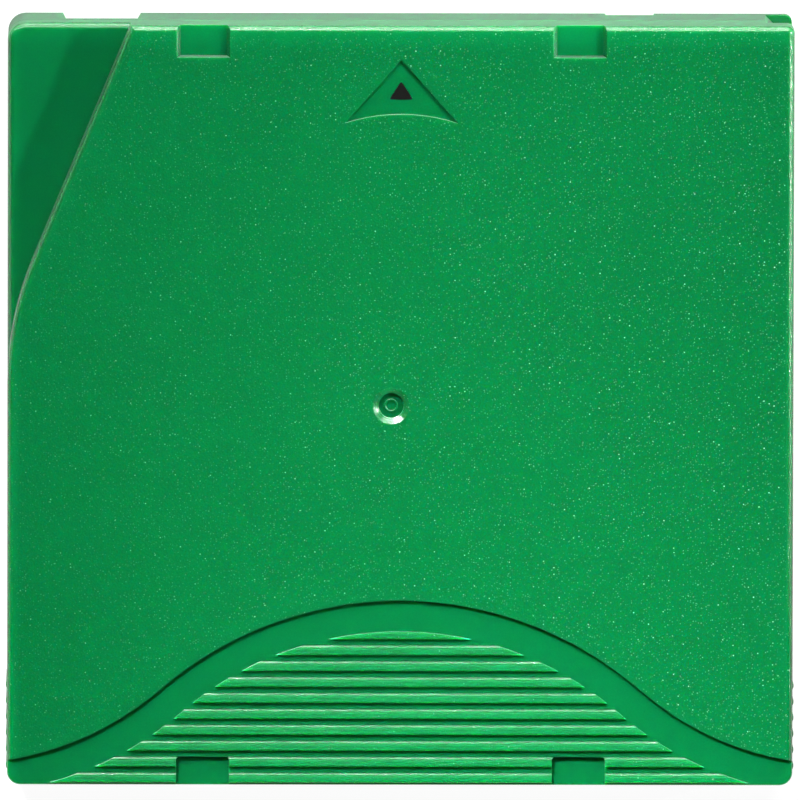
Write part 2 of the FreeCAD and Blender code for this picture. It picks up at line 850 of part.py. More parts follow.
def tab_track():
    """Wall behind the tab and a stop at each end of its travel."""
    left, rear, bottom = tab_place()
    x0 = left - tab_gap - tab_rail_wall
    x1 = left + tab_width + tab_stroke + tab_gap + tab_rail_wall
    back = rear + tab_thickness + tab_gap
    top = bottom + tab_height
    track = box(x0, x1, -half_length + side_wall / 2, back + tab_rail_wall, 0, top)
    return [track.cut(box(x0 + tab_rail_wall, x1 - tab_rail_wall, -half_length, back, floor_wall, top + 1))]


def access_door():
    """Sliding door: plate, finger strip, tail along the wall and a raised seat for its spring."""
    plate = box(door_outer_x, door_inner_x, door_rear_y, door_front_y, door_bottom, door_top)
    finger_front = window_front_y - door_finger_setback
    middle = (door_window_bottom + door_window_top) / 2
    reach = (door_window_top - door_window_bottom) / 2 - door_gap * 2
    finger = box(door_outer_x - door_finger_height, door_outer_x, finger_front - door_finger_width, finger_front, middle - reach, middle + reach)
    tail = box(door_outer_x, door_inner_x, door_tail_y, door_rear_y, door_top - door_tail_height, door_top)
    arm_top = door_spring_z + door_spring_radius
    arm_front = door_tail_y + door_arm_width
    arm = box(door_outer_x, door_inner_x, door_tail_y, arm_front, door_top - door_tail_height, arm_top)
    seat_low = upper_flange_top + reel_floor_gap
    seat_right = door_spring_x + door_spring_radius
    seat = box(door_outer_x, seat_right, door_tail_y, door_tail_y + door_seat_thickness, seat_low, arm_top)
    pin = Part.makeCylinder(spring_pin_radius, spring_pin_length, Vec(door_spring_x, door_tail_y, door_spring_z), Vec(0, -1, 0))
    return plate.multiFuse([finger, tail, arm, seat, pin]).removeSplitter()


def door_spring():
    """Long closing spring between the door's tail and a stop in the upper shell."""
    start = Vec(door_spring_x, door_tail_y, door_spring_z)
    return coil(start, door_spring_radius, door_spring_wire, door_spring_turns, door_spring_length, Vec(0, -1, 0))


def leader_pin():
    """Steel pin with a flange near each end, held upright in the floor and the ceiling."""
    low = floor_wall - pin_pocket_depth + pin_pocket_gap
    high = guide_ceiling + pin_pocket_depth - pin_pocket_gap
    pin = rod(pin_x, pin_y, pin_stub_radius, low, high)
    shaft = rod(pin_x, pin_y, pin_radius, tape_bottom - pin_flange_thickness, tape_top + tape_side_gap)
    lower = rod(pin_x, pin_y, pin_flange_radius, tape_bottom - tape_side_gap - pin_flange_thickness, tape_bottom - tape_side_gap)
    upper = rod(pin_x, pin_y, pin_flange_radius, tape_top + tape_side_gap, high - clip_wire)
    return pin.multiFuse([shaft, lower, upper]).removeSplitter()


def pin_clip(z0):
    """Flat wire clip whose two legs hold the pin's end and point at the door."""
    inner = pin_stub_radius + fit_gap
    outer = inner + clip_wire
    ring = tube(pin_x, pin_y, outer, inner, z0, z0 + clip_wire)
    ring = ring.cut(box(pin_x - 2 * outer, pin_x - inner / 2, pin_y - inner, pin_y + inner, z0 - 1, z0 + 1))
    legs = []
    for side in (-1, 1):
        y0 = pin_y + side * inner
        y1 = pin_y + side * outer
        legs.append(box(pin_x - clip_leg_length, pin_x, min(y0, y1), max(y0, y1), z0, z0 + clip_wire))
    return ring.multiFuse(legs)


def tape_clip():
    """Plastic clip that grips the tape's end on the pin, open on one side."""
    low = tape_bottom + tape_side_gap
    high = tape_top - tape_side_gap
    inner = pin_radius + leader_thickness / 2
    sleeve = tube(pin_x, pin_y, inner + tape_clip_wall, inner, low, high)
    half = math.radians(tape_clip_opening / 2)
    reach = 2 * (inner + tape_clip_wall)
    wedge = [(pin_x, pin_y), (pin_x - reach * math.cos(half), pin_y - reach * math.sin(half))]
    wedge.append((pin_x - reach * math.cos(half), pin_y + reach * math.sin(half)))
    return sleeve.cut(polygon(wedge, low - 1, high + 1))


def tape_leader():
    """First run of tape, straight from the right of the tape clip to the left of the pack."""
    pack = pack_radius + leader_pack_gap + leader_thickness / 2
    clip = pin_radius + leader_thickness / 2 + tape_clip_wall + leader_thickness / 2
    gap = Vec(pin_x, pin_y, 0) - reel_centre
    bearing = math.degrees(math.atan2(gap.y, gap.x))
    turn = math.degrees(math.acos((pack - clip) / gap.Length))
    start = polar(pack, bearing + turn, reel_centre)
    end = polar(clip, bearing + turn, Vec(pin_x, pin_y, 0))
    run = end - start
    strip = box(0, run.Length, -leader_thickness / 2, leader_thickness / 2, tape_bottom + tape_side_gap, tape_top - tape_side_gap)
    strip.rotate(Vec(0, 0, 0), UP, math.degrees(math.atan2(run.y, run.x)))
    return strip.translated(start)


def write_protect_tab():
    """Sliding tab with a ribbed nub that stands in the rear window."""
    left, rear, bottom = tab_place()
    plate = box(left, left + tab_width, rear, rear + tab_thickness, bottom, bottom + tab_height)
    nub_left = left + (tab_width - tab_nub_width) / 2
    middle = tab_window_bottom + tab_window_height / 2
    nub_rear = -half_length + label_depth
    nub = box(nub_left, nub_left + tab_nub_width, nub_rear, rear, middle - tab_nub_height / 2, middle + tab_nub_height / 2)
    tab = plate.fuse(nub)
    groove_pitch = tab_nub_width / 5
    for index in range(1, 5):
        x = nub_left + index * groove_pitch
        tab = tab.cut(rod(x, nub_rear - label_depth / 2, groove_pitch / 3, 0, case_height))
    return tab


def memory_board():
    """Small circuit board standing across the rear left corner."""
    half = board_length / 2
    deep = board_thickness / 2
    return board_frame(box(-half, half, -deep, deep, floor_wall, floor_wall + board_height))


def memory_chip():
    """Square chip on the outer side of the board."""
    middle = floor_wall + board_height / 2
    half = chip_side / 2
    face = board_thickness / 2
    return board_frame(box(-half, half, face, face + chip_thickness, middle - half, middle + half))


def plate_outline(grow, z0, z1):
    """Release plate seen from above: a disc with three arms that end in round pads."""
    x = reel_centre.x
    arm = box(x, x + leg_circle_radius, -plate_arm_half_width - grow, plate_arm_half_width + grow, z0, z1)
    pad = rod(x + leg_circle_radius, 0, plate_arm_half_width + grow, z0, z1)
    one = arm.fuse(pad)
    centre = rod(x, 0, plate_centre_radius + grow, z0, z1)
    return centre.multiFuse([turned(one, 90 + 120 * index) for index in range(3)])


def reel_hub():
    """Hub moulded with the lower flange, drive gear below and three arcs of brake teeth inside."""
    x = reel_centre.x
    hub = rod(x, 0, flange_radius, flange_bottom, flange_bottom + flange_thickness)
    hub = hub.fuse(tube(x, 0, hub_radius, hub_radius - hub_wall, flange_bottom, upper_flange_bottom))
    hub = hub.fuse(rod(x, 0, hub_radius, flange_bottom, web_top))
    step = 360 / brake_tooth_count
    clear = math.degrees(math.atan2(plate_arm_half_width + plate_gap, brake_ring_inner_radius)) + step / 2
    angles = [k * step for k in range(brake_tooth_count)]
    angles = [a for a in angles if abs((a - 90 + 60) % 120 - 60) > clear]
    inner = brake_ring_inner_radius
    outer = brake_ring_outer_radius
    brake = teeth(angles, inner, outer, brake_tooth_count, brake_tooth_fill, web_top - fit_gap, hub_tooth_top)
    places = [k * 360 / gear_tooth_count for k in range(gear_tooth_count)]
    gear_tip = flange_bottom - gear_tooth_height
    gear_base = flange_bottom + fit_gap
    gear = teeth(places, gear_inner_radius, gear_outer_radius, gear_tooth_count, brake_tooth_fill, gear_base, gear_tip)
    hub = hub.multiFuse(brake + gear)
    cuts = [
        rod(x, 0, spindle_hole_radius, 0, web_top + 1),
        plate_outline(plate_gap, plate_pocket_floor, web_top + brake_tooth_height + 1),
        tube(x, 0, washer_outer_radius + fit_gap, washer_inner_radius - fit_gap, 0, washer_top),
    ]
    leg = rod(x + leg_circle_radius, 0, leg_radius + leg_gap, 0, web_top + 1)
    cuts += [turned(leg, 90 + 120 * index) for index in range(3)]
    return hub.cut(cuts)


def clutch_washer():
    """Steel washer under the hub, pulled by the drive's magnet."""
    return tube(reel_centre.x, 0, washer_outer_radius, washer_inner_radius, washer_top - washer_thickness, washer_top)


def upper_flange():
    """Flange with a spigot that centres it in the hub."""
    x = reel_centre.x
    inner = hub_radius - hub_wall
    plate = tube(x, 0, flange_radius, inner - spigot_wall, upper_flange_bottom, upper_flange_top)
    spigot = tube(x, 0, inner - fit_gap, inner - spigot_wall, upper_flange_bottom - spigot_height, upper_flange_bottom)
    return plate.fuse(spigot)


def tape_pack():
    """Wound tape as one ring."""
    return tube(reel_centre.x, 0, pack_radius, hub_radius + fit_gap, tape_bottom, tape_top)


def release_plate():
    """Three-armed plate whose legs pass down through the hub to meet the drive's gear."""
    plate = plate_outline(0, plate_bottom, plate_top)
    leg_bottom = flange_bottom - gear_tooth_height + leg_tip_setback
    leg = rod(reel_centre.x + leg_circle_radius, 0, leg_radius, leg_bottom, plate_bottom)
    plate = plate.multiFuse([turned(leg, 90 + 120 * index) for index in range(3)])
    return plate.removeSplitter()


def brake_button():
    """Toothed brake: ring of teeth below, keyed sleeve above and a dome that rides on the plate."""
    x = reel_centre.x
    disc = rod(x, 0, brake_disc_radius, brake_root, brake_disc_top)
    sleeve = rod(x, 0, brake_sleeve_radius, brake_disc_top, brake_sleeve_top)
    dome_height = brake_root - plate_top - fit_gap
    stalk = rod(x, 0, brake_dome_radius, brake_root - dome_height, brake_root)
    stalk = stalk.makeChamfer(dome_height * 0.4, level_edges(stalk, brake_root - dome_height))
    step = 360 / brake_tooth_count
    angles = [(k + 0.5) * step for k in range(brake_tooth_count)]
    inner = brake_ring_inner_radius
    outer = brake_ring_outer_radius
    ring = teeth(angles, inner, outer, brake_tooth_count, brake_tooth_fill, brake_root + fit_gap, brake_tip)
    button = disc.multiFuse([sleeve, stalk] + ring)
    half = key_half_side + key_gap
    return button.cut(box(x - half, x + half, -half, half, brake_disc_top, brake_sleeve_top + 1))


def brake_spring():
    """Spring that pushes the brake down onto the hub's teeth."""
    start = Vec(reel_centre.x, 0, brake_disc_top + fit_gap)
    length = ceiling - brake_disc_top - 2 * fit_gap
    return coil(start, brake_spring_radius, brake_spring_wire, brake_spring_turns, length, UP)


def case_screw(x, y):
    """Self-tapping case screw with a hexagonal socket in its head."""
    seat = screw_recess_depth
    head = rod(x, y, screw_head_radius, seat - screw_head_height, seat)
    head = head.makeChamfer(screw_head_height / 5, level_edges(head, seat - screw_head_height))
    shank = rod(x, y, screw_shank_radius, seat, seat + screw_length - screw_tip)
    tip = Part.makeCone(screw_shank_radius, screw_shank_radius / 4, screw_tip, Vec(x, y, seat + screw_length - screw_tip))
    corners = [polar(screw_socket_radius, 60 * index, Vec(x, y, 0)) for index in range(6)]
    low = seat - screw_head_height
    socket = polygon([(p.x, p.y) for p in corners], low - 1, low + screw_socket_depth)
    return head.multiFuse([shank, tip]).cut(socket)


def export(name, shape):
    """Write one piece as a STEP file."""
    shape = shape.removeSplitter()
    if shape.ShapeType != "Solid" and len(shape.Solids) == 1:
        shape = shape.Solids[0]
    print(name, shape.isValid(), len(shape.Solids), round(shape.Volume, 2))
    shape.exportStep("parts/" + name + ".step")


os.makedirs("parts", exist_ok=True)
export("upper_shell", upper_shell())
export("lower_shell", lower_shell())
export("access_door", access_door())
export("door_spring", door_spring())
export("leader_pin", leader_pin())
export("pin_clip_lower", pin_clip(floor_wall - pin_pocket_depth + pin_pocket_gap))
export("pin_clip_upper", pin_clip(guide_ceiling + pin_pocket_depth - pin_pocket_gap - clip_wire))
export("tape_clip", tape_clip())
export("tape_leader", tape_leader())
export("write_protect_tab", write_protect_tab())
export("memory_board", memory_board())
export("memory_chip", memory_chip())
export("reel_hub", reel_hub())
export("clutch_washer", clutch_washer())
export("upper_flange", upper_flange())
export("tape_pack", tape_pack())
export("release_plate", release_plate())
export("brake_button", brake_button())
export("brake_spring", brake_spring())
for number, place in enumerate(screw_places(), start=1):
    export("case_screw_" + str(number), case_screw(*place))
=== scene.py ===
import bpy
import bmesh
from math import cos, pi, radians, sin, tan
from mathutils import Matrix, Vector


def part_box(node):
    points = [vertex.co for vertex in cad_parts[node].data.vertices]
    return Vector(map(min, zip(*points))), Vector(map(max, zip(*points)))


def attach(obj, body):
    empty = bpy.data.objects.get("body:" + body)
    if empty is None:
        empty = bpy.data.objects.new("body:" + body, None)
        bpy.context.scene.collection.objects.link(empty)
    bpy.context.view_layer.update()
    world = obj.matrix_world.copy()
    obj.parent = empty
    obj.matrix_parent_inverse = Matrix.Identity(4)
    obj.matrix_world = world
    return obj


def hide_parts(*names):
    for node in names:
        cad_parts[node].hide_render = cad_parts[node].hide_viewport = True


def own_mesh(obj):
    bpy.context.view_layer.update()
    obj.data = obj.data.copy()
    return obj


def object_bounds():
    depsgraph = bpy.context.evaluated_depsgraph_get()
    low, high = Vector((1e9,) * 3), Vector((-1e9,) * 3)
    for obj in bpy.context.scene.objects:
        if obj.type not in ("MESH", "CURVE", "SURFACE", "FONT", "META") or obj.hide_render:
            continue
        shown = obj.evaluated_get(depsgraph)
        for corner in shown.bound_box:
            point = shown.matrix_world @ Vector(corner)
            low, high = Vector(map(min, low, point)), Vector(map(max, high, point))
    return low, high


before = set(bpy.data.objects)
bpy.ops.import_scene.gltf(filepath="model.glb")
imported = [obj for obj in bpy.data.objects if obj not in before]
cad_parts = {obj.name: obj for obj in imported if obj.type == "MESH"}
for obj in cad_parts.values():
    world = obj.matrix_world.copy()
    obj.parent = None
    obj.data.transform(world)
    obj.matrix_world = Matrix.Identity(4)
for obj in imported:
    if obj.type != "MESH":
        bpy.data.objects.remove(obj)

# The cartridge's bounds as it came from the frame, before anything below is added.
delivered_low, delivered_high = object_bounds()

# ---- Camera ----------------------------------------------------------------
# Looks almost straight down on the top shell from a little past the insertion
# edge, from far away, so that the edges run nearly parallel.
stand_off = 4.0
aim = Vector((-0.000074, 0.000794, delivered_high.z))
lean_left, lean_forward, roll = radians(0.5), radians(5.269), radians(0.129)
lean = Vector((-tan(lean_left), tan(lean_forward), 1.0)).normalized()
level = Vector((0, 1, 0)).cross(lean).normalized()
upward = lean.cross(level)
rolled_level = level * cos(roll) + upward * sin(roll)
rolled_upward = upward * cos(roll) - level * sin(roll)
facing_down = Matrix((rolled_level, rolled_upward, lean)).transposed().to_4x4()
camera_data = bpy.data.cameras.new("camera")
camera_data.sensor_width = 36.0
camera_data.lens = 1346.9
camera = bpy.data.objects.new("camera", camera_data)
bpy.context.scene.collection.objects.link(camera)
camera.matrix_world = Matrix.Translation(aim + lean * stand_off) @ facing_down
bpy.context.scene.camera = camera
bpy.context.scene.view_settings.view_transform = "Standard"

# ---- Floor and light -------------------------------------------------------
# A white table in a dim room, a large soft box past the insertion edge, and two
# spots that draw the shadows: one from the front left and one from the right.


def shaded(name):
    """A new material and its principled shader."""
    material = bpy.data.materials.new(name)
    material.use_nodes = True
    return material, material.node_tree.nodes["Principled BSDF"]


def add(tree, kind, **settings):
    """A node of that kind. Names with a capital set an input, the others a setting of the node."""
    node = tree.nodes.new("ShaderNode" + kind)
    for name, value in settings.items():
        if name[0].isupper():
            node.inputs[name.replace("_", " ")].default_value = value
        else:
            setattr(node, name, value)
    return node


def feed(tree, source, socket):
    """Links an output to an input, or sets the input to a plain value or colour."""
    if isinstance(source, bpy.types.NodeSocket):
        tree.links.new(source, socket)
    elif isinstance(source, tuple):
        socket.default_value = (*source, 1)
    else:
        socket.default_value = source


def noise(tree, spot, scale, detail=2.0):
    """Noise on a piece, as its value and its colour."""
    node = add(tree, "TexNoise", Scale=scale, Detail=detail)
    feed(tree, spot, node.inputs["Vector"])
    return node.outputs["Fac"], node.outputs["Color"]


def ramp(tree, value, start, end, at_start=0.0, at_end=1.0, **settings):
    """Goes from at_start to at_end while the value goes from start to end."""
    node = add(tree, "MapRange", From_Min=start, From_Max=end, To_Min=at_start, To_Max=at_end, **settings)
    feed(tree, value, node.inputs["Value"])
    return node.outputs["Result"]


def parts_of(tree, vector):
    """The X, Y and Z of a vector."""
    node = add(tree, "SeparateXYZ")
    feed(tree, vector, node.inputs["Vector"])
    return node.outputs["X"], node.outputs["Y"], node.outputs["Z"]


table_half = 3.0
table_under_case = 0.001
# The table stops a little way under the cartridge's edges, so that the underside can be seen from below
table = bmesh.new()
quarters = ((-1, -1), (1, -1), (1, 1), (-1, 1))
inner_x, inner_y = delivered_high.x - table_under_case, delivered_high.y - table_under_case
inner = [table.verts.new((x * inner_x, y * inner_y, 0)) for x, y in quarters]
outer = [table.verts.new((x * table_half, y * table_half, 0)) for x, y in quarters]
for side in range(4):
    table.faces.new((inner[side - 1], inner[side], outer[side], outer[side - 1]))
table_mesh = bpy.data.meshes.new("table")
table.to_mesh(table_mesh)
table.free()
floor = bpy.data.objects.new("table", table_mesh)
bpy.context.scene.collection.objects.link(floor)
table_white, table_shader = shaded("table_white")
table_place = add(table_white.node_tree, "TexCoord")
table_mottle, _ = noise(table_white.node_tree, table_place.outputs["Object"], 6.0)
table_tone = ramp(table_white.node_tree, table_mottle, 0.0, 1.0, 0.09, 0.11)
feed(table_white.node_tree, table_tone, table_shader.inputs["Base Color"])
table_shader.inputs["Roughness"].default_value = 0.9
table_shader.inputs["Specular IOR Level"].default_value = 0.1
table_shader.inputs["Emission Color"].default_value = (1, 1, 1, 1)
table_shader.inputs["Emission Strength"].default_value = 0.95
table_mesh.materials.append(table_white)

room = bpy.data.worlds.new("room")
room.use_nodes = True
bpy.context.scene.world = room
room_light = room.node_tree.nodes["Background"]
room_way = add(room.node_tree, "TexCoord")
room_height = parts_of(room.node_tree, room_way.outputs["Generated"])[2]
room_fade = ramp(room.node_tree, room_height, 0.15, 0.6, 1.0, 0.01)
feed(room.node_tree, room_fade, room_light.inputs["Color"])
room_light.inputs["Strength"].default_value = 1.0


def lamp(name, kind, power, azimuth, elevation, aimed):
    """A light one metre from the point it is aimed at. Azimuth turns from the right towards the insertion edge."""
    light = bpy.data.lights.new(name, kind)
    light.energy = power
    holder = bpy.data.objects.new(name, light)
    bpy.context.scene.collection.objects.link(holder)
    turned, raised = radians(azimuth), radians(elevation)
    out = Vector((cos(turned) * cos(raised), sin(turned) * cos(raised), sin(raised)))
    holder.matrix_world = Matrix.Translation(Vector(aimed) + out) @ out.to_track_quat("Z", "Y").to_matrix().to_4x4()
    return light


front_box = lamp("front_box", "AREA", 37.0, 90, 30, (0, 0, 0.02))
front_box.shape, front_box.size, front_box.size_y = "RECTANGLE", 1.15, 0.73
left_spot = lamp("left_spot", "SPOT", 240.0, 115, 36, (0.055, -0.15, 0.02))
left_spot.spot_size, left_spot.spot_blend, left_spot.shadow_soft_size = radians(16.6), 1.0, 0.06
right_spot = lamp("right_spot", "SPOT", 124.0, 10, 30, (0.032, 0.042, 0.02))
right_spot.spot_size, right_spot.spot_blend, right_spot.shadow_soft_size = radians(9.8), 1.0, 0.04

# ---- Upper shell -----------------------------------------------------------
# Half of the case, injection moulded in green polycarbonate with a fine spark
# texture on its roof. The grip, the guide and the notches are left smoother.
upper_low, upper_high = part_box("upper_shell")
case_green = (0.0, 0.097, 0.0228)
case_deep = (0.0, 0.071, 0.0164)
grain_height = 0.00009
# Pale green of the painted glints on the roof, a painted highlight.
painted_glint_green = (0.165, 0.35, 0.21)


def maths(tree, operation, *terms):
    """One sum on up to three values or outputs."""
    node = add(tree, "Math", operation=operation)
    for term, socket in zip(terms, node.inputs):
        feed(tree, term, socket)
    return node.outputs[0]


def blended(tree, share, first, second):
    """A colour between two others."""
    node = add(tree, "Mix", data_type="RGBA")
    feed(tree, share, node.inputs["Factor"])
    feed(tree, first, node.inputs["A"])
    feed(tree, second, node.inputs["B"])
    return node.outputs["Result"]


def scaled(tree, colour, factor):
    """A colour made lighter or deeper by a factor."""
    node = add(tree, "VectorMath", operation="SCALE")
    feed(tree, colour, node.inputs[0])
    feed(tree, factor, node.inputs["Scale"])
    return node.outputs["Vector"]


def moulded(name, colour, deep, roughness, grain, dress=None):
    """Moulded plastic with a slow flow tone and a fine grain. Its upright walls are duller, and painted shade makes
    their green deeper.
    """
    material, shader = shaded(name)
    tree = material.node_tree
    place = add(tree, "TexCoord")
    spot = place.outputs["Object"]
    facing = parts_of(tree, place.outputs["Normal"])
    flow, _ = noise(tree, spot, 14.0)
    fine, crumbs = noise(tree, spot, 4200.0)
    share = ramp(tree, maths(tree, "MULTIPLY_ADD", fine, 0.8, flow), 0.45, 1.35)
    # Painted shade: the green is made deeper the more upright the surface is.
    tone = scaled(tree, blended(tree, share, deep, colour), ramp(tree, facing[2], 0.9, 0.1, 1.0, 0.64))
    height = fine
    if dress is not None:
        tone, height = dress(tree, shader, spot, facing, tone, fine, crumbs)
    edge = add(tree, "Bevel", samples=4, Radius=0.0001)
    bump = add(tree, "Bump", Strength=grain, Distance=grain_height)
    feed(tree, height, bump.inputs["Height"])
    feed(tree, edge.outputs["Normal"], bump.inputs["Normal"])
    feed(tree, bump.outputs["Normal"], shader.inputs["Normal"])
    feed(tree, tone, shader.inputs["Base Color"])
    feed(tree, ramp(tree, facing[2], 0.5, 0.1, roughness, 0.6), shader.inputs["Roughness"])
    shader.inputs["Subsurface Weight"].default_value = 1.0
    shader.inputs["Subsurface Radius"].default_value = (0.1, 1.0, 0.35)
    shader.inputs["Subsurface Scale"].default_value = 0.003
    shader.inputs["IOR"].default_value = 1.58
    return material


def painted_glow(tree, where, facing, top):
    """Painted glow: how much lighter the green is painted where light would come through the plastic, at the
    insertion edge, at the left edge and on the small steps of the roof that face away from the insertion edge."""
    soft = {"interpolation_type": "SMOOTHERSTEP"}
    front = ramp(tree, where[1], upper_high.y - 0.0045, upper_high.y - 0.0002, 1.0, 1.35, **soft)
    left = ramp(tree, where[0], upper_low.x + 0.0025, upper_low.x - 0.0001, 1.0, 1.3, **soft)
    in_step = ramp(tree, where[2], top - 0.0005, top - 0.0004)
    turned_away = ramp(tree, facing[1], -0.3, -0.7)
    step = ramp(tree, maths(tree, "MULTIPLY", in_step, turned_away), 0.0, 1.0, 1.0, 3.7)
    return maths(tree, "MULTIPLY", maths(tree, "MULTIPLY", front, left), step)


def rib_matting(tree, where, facing):
    """How strongly the surface mirrors: fully, but hardly on the sloping faces of the grip ribs."""
    on_grip = ramp(tree, where[1], upper_low.y + 0.0225, upper_low.y + 0.022)
    sloping = ramp(tree, facing[2], 0.985, 0.975)
    not_steep = ramp(tree, facing[2], 0.86, 0.88)
    rib_face = maths(tree, "MULTIPLY", maths(tree, "MULTIPLY", sloping, not_steep), on_grip)
    return ramp(tree, rib_face, 0.0, 1.0, 0.5, 0.03)


def with_painted_glints(tree, spot, where, on_top, crumbs, tone):
    """Adds painted glints to the roof: bright crumbs of two sizes painted into the colour, more of them to the right,
    where the right spot shines.
    """
    ragged = add(tree, "VectorMath", operation="MULTIPLY_ADD")
    ragged.inputs[1].default_value = (0.0001, 0.0001, 0.0001)
    feed(tree, crumbs, ragged.inputs[0])
    feed(tree, spot, ragged.inputs[2])
    # Painted glints grow denser towards the right, where the right spot falls.
    glints_toward_right_light = ramp(tree, where[0], -0.05, 0.05, 0.35, 1.0)
    for size, core, rarity, strength in ((2900.0, 0.3, 0.2, 0.35), (1500.0, 0.17, 0.6, 1.0)):
        cells = add(tree, "TexVoronoi", Scale=size)
        chance = add(tree, "SeparateColor")
        feed(tree, ragged.outputs["Vector"], cells.inputs["Vector"])
        feed(tree, cells.outputs["Color"], chance.inputs["Color"])
        heart = ramp(tree, cells.outputs["Distance"], core * 0.5, core, 1.0, 0.0)
        bright = ramp(tree, chance.outputs["Red"], rarity, 1.0, 0.0, strength)
        seen = maths(tree, "MULTIPLY", maths(tree, "MULTIPLY", heart, bright), glints_toward_right_light)
        tone = blended(tree, maths(tree, "MULTIPLY", seen, on_top), tone, painted_glint_green)
    return tone


def roof(tree, shader, spot, facing, tone, fine, crumbs):
    """The roof's own finish, with its painted glow and painted glints. Its texture lies on the flat and on the
    rounded edges, not on sunken floors.
    """
    where = parts_of(tree, spot)
    top = upper_high.z - 0.0002
    on_top = ramp(tree, where[2], top - 0.00005, top)
    off_level = ramp(tree, facing[2], 0.91, 0.84, 0.0, 2.2)
    off_upright = ramp(tree, facing[2], 0.1, 0.4, 0.3, 2.2)
    rounded = maths(tree, "MINIMUM", off_level, off_upright)
    height = maths(tree, "MULTIPLY", fine, maths(tree, "MAXIMUM", on_top, rounded))
    feed(tree, rib_matting(tree, where, facing), shader.inputs["Specular IOR Level"])
    # Painted glow: the green is lightened near the edges and on the steps, standing in for light through the plastic.
    tone = scaled(tree, tone, painted_glow(tree, where, facing, top))
    return with_painted_glints(tree, spot, where, on_top, crumbs, tone), height


def finish_node(name, material):
    """Gives one piece of the frame its material."""
    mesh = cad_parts[name].data
    mesh.materials.clear()
    mesh.materials.append(material)


roof_green = moulded("case_roof_green", case_green, case_deep, roughness=0.2, grain=0.5, dress=roof)
finish_node("upper_shell", roof_green)

# ---- Lower shell -----------------------------------------------------------
# The other half of the case, from the same green plastic. It carries the reel,
# the door track and the memory board, and four screws close the two halves.
wall_green = moulded("case_wall_green", case_green, case_deep, roughness=0.2, grain=0.3)
finish_node("lower_shell", wall_green)

# ---- Printed insertion mark ------------------------------------------------
# A small black triangle, pad printed on the floor of the arrowhead recess, that
# points to the edge which goes into the drive first.
mark_tip, mark_base, mark_half, mark_corner = 0.0435, 0.04105, 0.0016, 0.00025
recess_depth = 0.00035
ink_sunk, ink_film = 0.00005, 0.00007
mark_floor = upper_high.z - recess_depth
mark = bmesh.new()
corners = [mark.verts.new(p) for p in ((-mark_half, mark_base, 0), (mark_half, mark_base, 0), (0, mark_tip, 0))]
mark.faces.new(corners)
bmesh.ops.bevel(mark, geom=mark.verts[:], affect="VERTICES", offset=mark_corner, segments=4, profile=0.5, material=-1)
bmesh.ops.translate(mark, verts=mark.verts[:], vec=(0, 0, mark_floor - ink_sunk))
raised = bmesh.ops.extrude_face_region(mark, geom=mark.faces[:])
raised_corners = [v for v in raised["geom"] if isinstance(v, bmesh.types.BMVert)]
bmesh.ops.translate(mark, verts=raised_corners, vec=(0, 0, ink_film))
bmesh.ops.recalc_face_normals(mark, faces=mark.faces[:])


def piece(name, mesh, material, body):
    """Puts a finished mesh into the scene as one piece of the cartridge."""
    data = bpy.data.meshes.new(name)
    mesh.to_mesh(data)
    mesh.free()
    data.materials.append(material)
    made = bpy.data.objects.new(name, data)
    bpy.context.scene.collection.objects.link(made)
    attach(made, body)
    return made


ink, ink_shader = shaded("black_ink")
ink_place = add(ink.node_tree, "TexCoord")
ink_mottle, _ = noise(ink.node_tree, ink_place.outputs["Object"], 2600.0, 3.0)
ink_tone = blended(ink.node_tree, ink_mottle, (0.0012, 0.0014, 0.0011), (0.003, 0.0034, 0.0028))
feed(ink.node_tree, ink_tone, ink_shader.inputs["Base Color"])
ink_shader.inputs["Roughness"].default_value = 0.35
ink_shader.inputs["Specular IOR Level"].default_value = 0.2
piece("insertion_mark", mark, ink, "case")

# ---- Access door -----------------------------------------------------------
# A thin sliding shutter in the left wall, moulded in the case's green. The drive
# pushes its finger back to reach the leader pin.
door_green = moulded("door_green", case_green, case_deep, roughness=0.3, grain=0.22)
finish_node("access_door", door_green)

# ---- Springs ---------------------------------------------------------------
# Drawn steel wire: a long thin coil that shuts the door, and a short stout one
# that keeps the brake down on the hub.


def metal(name, colour, dark, roughness, scale, grain, stretch=(1, 1, 1)):
    """Metal with fine drawn or turned marks that run across the stretched axis."""
    material, shader = shaded(name)
    tree = material.node_tree
    place = add(tree, "TexCoord")
    spread = add(tree, "Mapping")
    spread.inputs["Scale"].default_value = stretch
    feed(tree, place.outputs["Object"], spread.inputs["Vector"])
    marks, _ = noise(tree, spread.outputs["Vector"], scale, 4.0)
    bump = add(tree, "Bump", Strength=grain, Distance=0.00002)
    feed(tree, marks, bump.inputs["Height"])
    feed(tree, bump.outputs["Normal"], shader.inputs["Normal"])
    feed(tree, blended(tree, marks, dark, colour), shader.inputs["Base Color"])
    feed(tree, ramp(tree, marks, 0.0, 1.0, roughness - 0.08, roughness + 0.08), shader.inputs["Roughness"])
    shader.inputs["Metallic"].default_value = 1.0
    return material


def coil(start, axis, radius, wire, length, turns, steps):
    """Helix of round wire wound round an axis, with its ends laid flat for one turn."""
    made = bmesh.new()
    side = Vector((1, 0, 0)) if abs(axis.x) < 0.5 else Vector((0, 1, 0))
    pitch = (length - 6 * wire) / turns
    bmesh.ops.create_circle(made, cap_ends=True, segments=10, radius=wire)
    forward = axis.cross(side).normalized()
    stand = Matrix((side, axis, forward)).transposed().to_4x4()
    lie = Matrix.Translation(start + side * radius + axis * wire)
    bmesh.ops.transform(made, matrix=lie @ stand, verts=made.verts[:])
    ring = made.faces[:]
    for count, rise in ((1, 2 * wire), (turns, pitch), (1, 2 * wire)):
        spun = bmesh.ops.spin(made, geom=ring, cent=start, axis=axis, dvec=axis * (rise / steps),
                              angle=2 * pi * count, steps=count * steps, use_merge=False)
        ring = [f for f in spun["geom_last"] if isinstance(f, bmesh.types.BMFace)]
    bmesh.ops.remove_doubles(made, verts=made.verts[:], dist=wire * 0.02)
    bmesh.ops.recalc_face_normals(made, faces=made.faces[:])
    for face in made.faces:
        face.smooth = True
    return made


